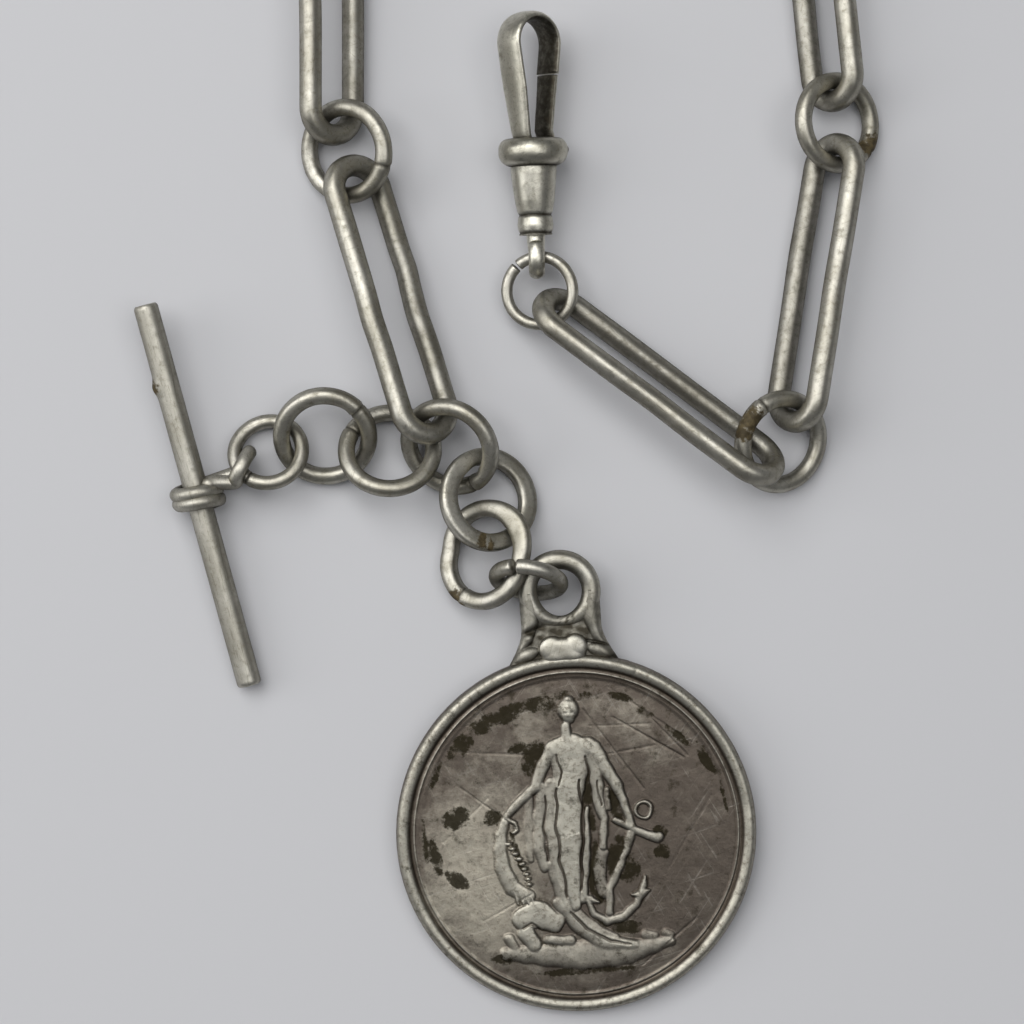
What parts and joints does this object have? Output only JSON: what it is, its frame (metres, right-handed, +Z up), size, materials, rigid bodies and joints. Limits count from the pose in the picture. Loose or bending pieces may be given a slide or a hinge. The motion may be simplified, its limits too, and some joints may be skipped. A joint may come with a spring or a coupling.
{
  "type": "pocket watch chain",
  "caption": "Silver pocket watch chain of long paperclip links and round rings, with a T-bar, a round medal fob and a swivelling sprung dog clip",
  "frame": {"origin": "middle of the whole chain's footprint, on the surface it lies on", "axes": "+Y along the doubled strand from the medal to the far arch, +X to the right seen from above, +Z up out of the surface"},
  "size_m": [0.0782, 0.1882, 0.0088],
  "materials": {
    "link_silver": "old sterling silver links, satin and finely scratched, darker in the hollows",
    "ring_silver": "old sterling silver rings, worn satin with brown stains at the solder seams",
    "bar_silver": "old sterling silver bar, soft polish with fine scratches",
    "medal_silver": "old struck silver medal, dark tarnish in the field and bright on the worn relief",
    "clasp_silver": "old sterling silver clasp, worn satin with dark inner faces",
    "spring_steel": "dark spring steel"
  },
  "bodies": {
    "junction_ring": {"junction_ring": "ring_silver"},
    "bar_ring_1": {"bar_ring_1": "ring_silver"},
    "bar_ring_2": {"bar_ring_2": "ring_silver"},
    "bar_ring_3": {"bar_ring_3": "ring_silver"},
    "drop_ring_1": {"drop_ring_1": "ring_silver"},
    "drop_ring_2": {"drop_ring_2": "ring_silver"},
    "medal_ring": {"medal_ring": "ring_silver"},
    "chain_link_1": {"chain_link_1": "link_silver"},
    "chain_ring_1": {"chain_ring_1": "ring_silver"},
    "chain_link_2": {"chain_link_2": "link_silver"},
    "chain_ring_2": {"chain_ring_2": "ring_silver"},
    "chain_link_3": {"chain_link_3": "link_silver"},
    "chain_ring_3": {"chain_ring_3": "ring_silver"},
    "chain_link_4": {"chain_link_4": "link_silver"},
    "chain_ring_4": {"chain_ring_4": "ring_silver"},
    "chain_link_5": {"chain_link_5": "link_silver"},
    "chain_ring_5": {"chain_ring_5": "ring_silver"},
    "chain_link_6": {"chain_link_6": "link_silver"},
    "chain_ring_6": {"chain_ring_6": "ring_silver"},
    "chain_link_7": {"chain_link_7": "link_silver"},
    "chain_ring_7": {"chain_ring_7": "ring_silver"},
    "chain_link_8": {"chain_link_8": "link_silver"},
    "chain_ring_8": {"chain_ring_8": "ring_silver"},
    "chain_link_9": {"chain_link_9": "link_silver"},
    "clasp_ring": {"clasp_ring": "ring_silver"},
    "t_bar": {"t_bar": "bar_silver", "bar_collar_eye": "bar_silver"},
    "medal": {"medal_disc": "medal_silver", "medal_shoulder": "medal_silver", "medal_bail": "medal_silver"},
    "clasp_hook": {"clasp_collar": "clasp_silver", "clasp_barrel": "clasp_silver", "clasp_hook": "clasp_silver", "gate_pin": "spring_steel", "gate_spring": "spring_steel"},
    "clasp_gate": {"clasp_gate": "clasp_silver"},
    "swivel_eye": {"swivel_eye": "clasp_silver"}
  },
  "joints": [
    {"name": "chain_link_1_turn", "type": "hinge", "parent": "junction_ring", "child": "chain_link_1", "pos_m": [-0.00612, -0.03466, 0.00384], "axis": [0.3484, 0.4377, -0.8289], "range_deg": [0, 25]},
    {"name": "chain_ring_1_swing", "type": "hinge", "parent": "chain_link_1", "child": "chain_ring_1", "pos_m": [-0.01802, -0.00846, 0.00466], "axis": [0.2872, -0.9551, 0.0729], "range_deg": [-10, 30]},
    {"name": "chain_link_2_turn", "type": "hinge", "parent": "chain_ring_1", "child": "chain_link_2", "pos_m": [-0.01697, -0.00366, 0.00338], "axis": [-0.4991, -0.129, 0.8569], "range_deg": [-25, 20]},
    {"name": "chain_ring_2_swing", "type": "hinge", "parent": "chain_link_2", "child": "chain_ring_2", "pos_m": [-0.01745, 0.02721, 0.00278], "axis": [-0.6504, 0.4973, 0.5741], "range_deg": [-30, 15]},
    {"name": "chain_link_3_turn", "type": "hinge", "parent": "chain_ring_2", "child": "chain_link_3", "pos_m": [-0.01842, 0.02994, 0.00325], "axis": [0.4801, -0.0813, -0.8734], "range_deg": [-25, 25]},
    {"name": "chain_ring_3_swing", "type": "hinge", "parent": "chain_link_3", "child": "chain_ring_3", "pos_m": [-0.01407, 0.06114, 0.00311], "axis": [0.586, -0.5511, -0.594], "range_deg": [-15, 30]},
    {"name": "chain_link_4_turn", "type": "hinge", "parent": "chain_ring_3", "child": "chain_link_4", "pos_m": [-0.01412, 0.06384, 0.00342], "axis": [-0.4486, 0.1991, 0.8713], "range_deg": [-20, 30]},
    {"name": "chain_ring_4_swing", "type": "hinge", "parent": "chain_link_4", "child": "chain_ring_4", "pos_m": [0.00613, 0.08825, 0.00426], "axis": [0.3529, -0.6038, -0.7148], "range_deg": [-30, 15]},
    {"name": "chain_link_5_turn", "type": "hinge", "parent": "chain_ring_4", "child": "chain_link_5", "pos_m": [0.00818, 0.08924, 0.00337], "axis": [0.054, -0.4991, -0.8648], "range_deg": [-30, 0]},
    {"name": "chain_ring_5_swing", "type": "hinge", "parent": "chain_link_5", "child": "chain_ring_5", "pos_m": [0.03058, 0.06919, 0.00183], "axis": [0.8864, -0.2865, 0.3637], "range_deg": [-30, 5]},
    {"name": "chain_link_6_turn", "type": "hinge", "parent": "chain_ring_5", "child": "chain_link_6", "pos_m": [0.03348, 0.06724, 0.00295], "axis": [0.3487, 0.1453, 0.9259], "range_deg": [-30, 30]},
    {"name": "chain_ring_6_swing", "type": "hinge", "parent": "chain_link_6", "child": "chain_ring_6", "pos_m": [0.03127, 0.03569, 0.00341], "axis": [0.6795, -0.1564, 0.7168], "range_deg": [-20, 25]},
    {"name": "chain_link_7_turn", "type": "hinge", "parent": "chain_ring_6", "child": "chain_link_7", "pos_m": [0.03118, 0.03329, 0.00376], "axis": [0.5739, -0.0215, 0.8186], "range_deg": [-30, 25]},
    {"name": "chain_ring_7_swing", "type": "hinge", "parent": "chain_link_7", "child": "chain_ring_7", "pos_m": [0.03417, 0.00158, 0.00341], "axis": [-0.6879, -0.0383, -0.7248], "range_deg": [-25, 25]},
    {"name": "chain_link_8_turn", "type": "hinge", "parent": "chain_ring_7", "child": "chain_link_8", "pos_m": [0.03448, -0.00066, 0.00328], "axis": [0.515, 0.009, 0.8572], "range_deg": [-30, 20]},
    {"name": "chain_ring_8_swing", "type": "hinge", "parent": "chain_link_8", "child": "chain_ring_8", "pos_m": [0.03001, -0.03204, 0.00363], "axis": [-0.6549, 0.0535, -0.7538], "range_deg": [-15, 30]},
    {"name": "chain_link_9_turn", "type": "hinge", "parent": "chain_ring_8", "child": "chain_link_9", "pos_m": [0.02858, -0.03406, 0.00325], "axis": [0.441, -0.2025, 0.8744], "range_deg": [-25, 20]},
    {"name": "clasp_ring_swing", "type": "hinge", "parent": "chain_link_9", "child": "clasp_ring", "pos_m": [0.00553, -0.01914, 0.00195], "axis": [-0.8659, 0.1524, 0.4765], "range_deg": [-30, 10]},
    {"name": "swivel_eye_turn", "type": "hinge", "parent": "clasp_ring", "child": "swivel_eye", "pos_m": [0.00328, -0.01826, 0.00297], "axis": [-0.246, -0.0718, 0.9666], "range_deg": [-40, 25]},
    {"name": "bar_ring_3_turn", "type": "hinge", "parent": "junction_ring", "child": "bar_ring_3", "pos_m": [-0.00612, -0.03466, 0.00384], "axis": [-0.3484, -0.4377, 0.8289], "range_deg": [0, 20]},
    {"name": "bar_ring_2_swing", "type": "hinge", "parent": "bar_ring_3", "child": "bar_ring_2", "pos_m": [-0.01597, -0.03241, 0.00189], "axis": [0.6377, 0.6665, -0.3861], "range_deg": [-20, 30]},
    {"name": "bar_ring_1_turn", "type": "hinge", "parent": "bar_ring_2", "child": "bar_ring_1", "pos_m": [-0.01922, -0.03351, 0.00296], "axis": [0, 0.4226, -0.9063], "range_deg": [-30, 20]},
    {"name": "t_bar_swing", "type": "hinge", "parent": "bar_ring_1", "child": "t_bar", "pos_m": [-0.0288, -0.03541, 0.00216], "axis": [-0.0245, 0.9104, -0.4131], "range_deg": [-25, 10]},
    {"name": "drop_ring_1_turn", "type": "hinge", "parent": "junction_ring", "child": "drop_ring_1", "pos_m": [-0.00612, -0.03466, 0.00384], "axis": [-0.3484, -0.4377, 0.8289], "range_deg": [-20, 25]},
    {"name": "drop_ring_2_swing", "type": "hinge", "parent": "drop_ring_1", "child": "drop_ring_2", "pos_m": [0.00054, -0.0438, 0.00263], "axis": [0.69, 0.5776, -0.4362], "range_deg": [-30, 20]},
    {"name": "medal_ring_turn", "type": "hinge", "parent": "drop_ring_2", "child": "medal_ring", "pos_m": [-0.00242, -0.04596, 0.00311], "axis": [-0.457, 0.1119, 0.8824], "range_deg": [-15, 15]},
    {"name": "medal_turn", "type": "hinge", "parent": "medal_ring", "child": "medal", "pos_m": [0.00208, -0.04856, 0.00432], "axis": [0.1324, 0.904, -0.4066], "range_deg": [-25, 5]},
    {"name": "clasp_hook_swivel", "type": "hinge", "parent": "swivel_eye", "child": "clasp_hook", "pos_m": [0.00258, -0.00366, 0.00401], "axis": [-0.0348, 0.997, 0.0698], "continuous": true},
    {"name": "clasp_gate_hinge", "type": "hinge", "parent": "clasp_hook", "child": "clasp_gate", "pos_m": [0.00433, -0.0035, 0.00254], "axis": [0.6443, -0.031, 0.7642], "range_deg": [0, 22], "stiffness_Nm_per_rad": 0.02, "springref_deg": -11.46}
  ]
}
